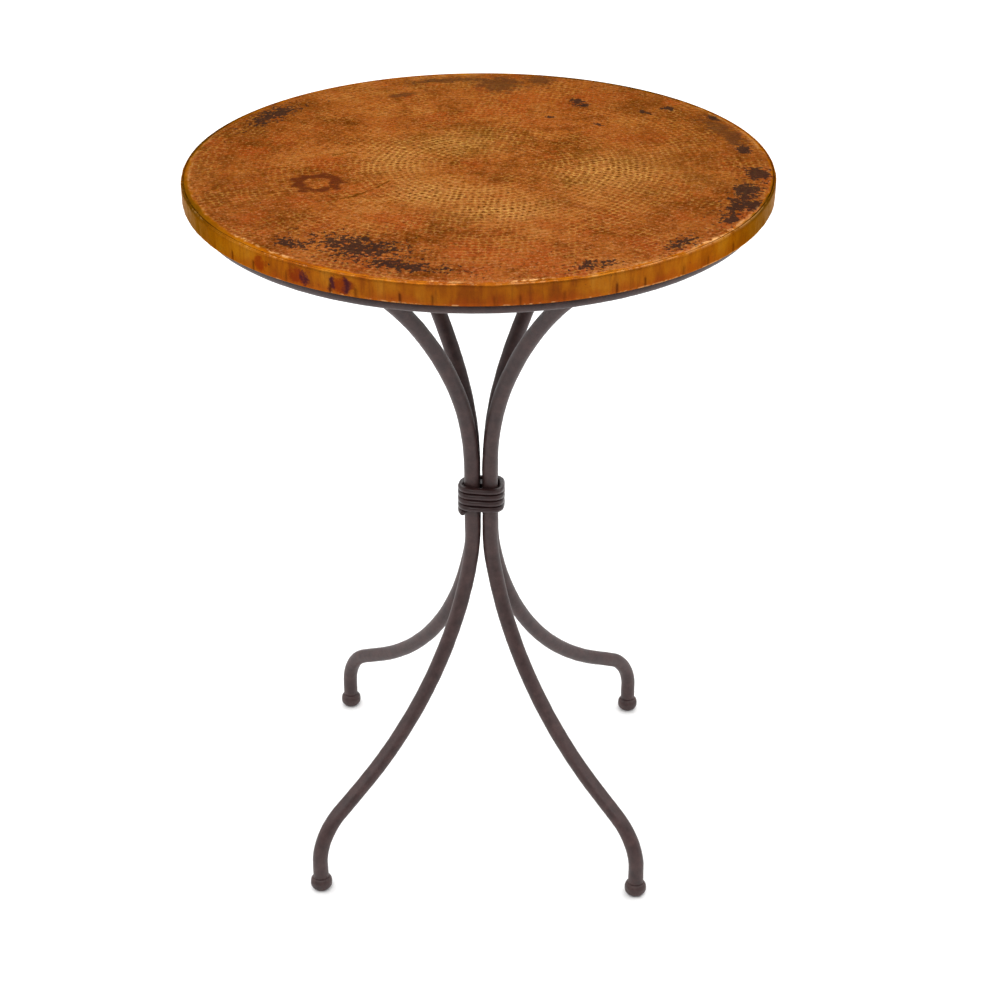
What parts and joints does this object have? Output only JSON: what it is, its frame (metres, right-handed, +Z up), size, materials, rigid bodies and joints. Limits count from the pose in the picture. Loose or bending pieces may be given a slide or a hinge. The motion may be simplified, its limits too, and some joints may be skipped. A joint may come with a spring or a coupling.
{
  "type": "hammered copper top pub table",
  "caption": "Round pub table with a hammered copper top on bent iron legs that splay from a wound collar at the waist.",
  "frame": {"origin": "on the floor, below the middle of the round top", "axes": "+Z up along the table's axis; the legs stand on the diagonals between X and Y, and -Y faces the viewer"},
  "size_m": [0.762, 0.762, 1.016],
  "materials": {
    "copper": "hammered, lacquered fire patina, satin gloss",
    "tack_copper": "dull",
    "core_wood": "raw plywood",
    "iron": "satin dark brown-grey over forged bar",
    "collar_iron": "satin dark brown",
    "screw_steel": "zinc plated"
  },
  "bodies": {
    "root": {"copper_skin": "copper", "wood_core": "core_wood", "lip_tacks": "tack_copper", "support_ring": "iron", "leg_front_left": "iron", "leg_front_right": "iron", "leg_rear_right": "iron", "leg_rear_left": "iron", "foot_front_left": "iron", "foot_front_right": "iron", "foot_rear_right": "iron", "foot_rear_left": "iron", "waist_spacer": "iron", "waist_welds": "iron", "ring_welds": "iron", "tab_right": "iron", "tab_rear": "iron", "tab_left": "iron", "tab_front": "iron", "collar_wrap": "collar_iron", "tab_screws": "screw_steel"}
  },
  "joints": []
}
